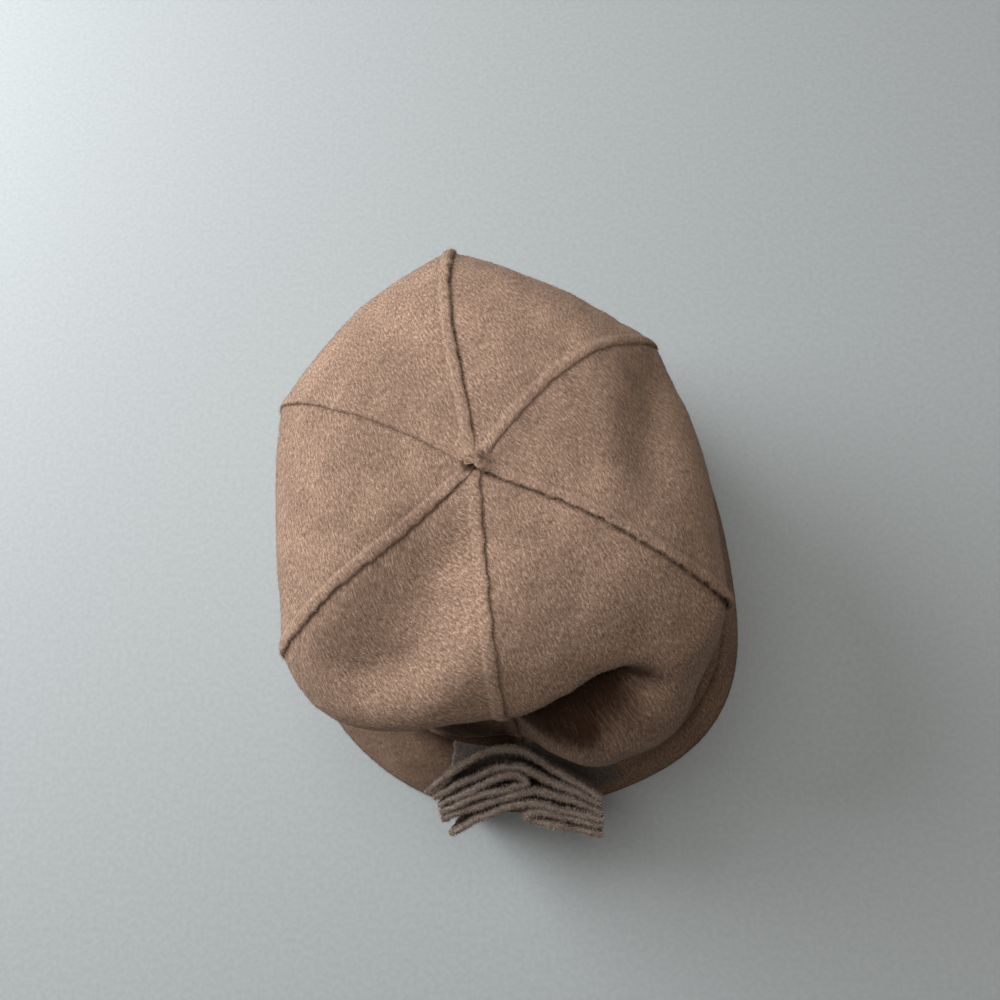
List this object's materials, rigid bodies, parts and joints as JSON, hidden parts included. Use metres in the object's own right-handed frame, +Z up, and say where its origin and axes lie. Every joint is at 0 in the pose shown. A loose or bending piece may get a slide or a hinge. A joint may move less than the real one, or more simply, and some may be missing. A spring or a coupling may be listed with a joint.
{
  "type": "church hat",
  "caption": "Soft felt cloche hat with a gored crown, a downturned brim and a bow of folded felt strips in front.",
  "frame": {"origin": "middle of the hat's outline, on the floor under the brim's edge", "axes": "+Z up, -Y to the front where the bow is, +X to the wearer's left"},
  "size_m": [0.2326, 0.2542, 0.1436],
  "materials": {
    "crown_felt": "brushed wool felt with a short nap",
    "brim_felt": "brushed wool felt with a short nap",
    "bow_felt": "wool felt with raw cut edges"
  },
  "bodies": {
    "root": {"gore_right": "crown_felt", "gore_back_right": "crown_felt", "gore_back_left": "crown_felt", "gore_left": "crown_felt", "gore_front_left": "crown_felt", "gore_front_right": "crown_felt", "brim": "brim_felt", "bow_backing": "bow_felt", "bow_strip_1": "bow_felt", "bow_strip_2": "bow_felt", "bow_strip_3": "bow_felt", "bow_strip_4": "bow_felt", "bow_loop_left": "bow_felt", "bow_loop_right": "bow_felt"}
  },
  "joints": []
}
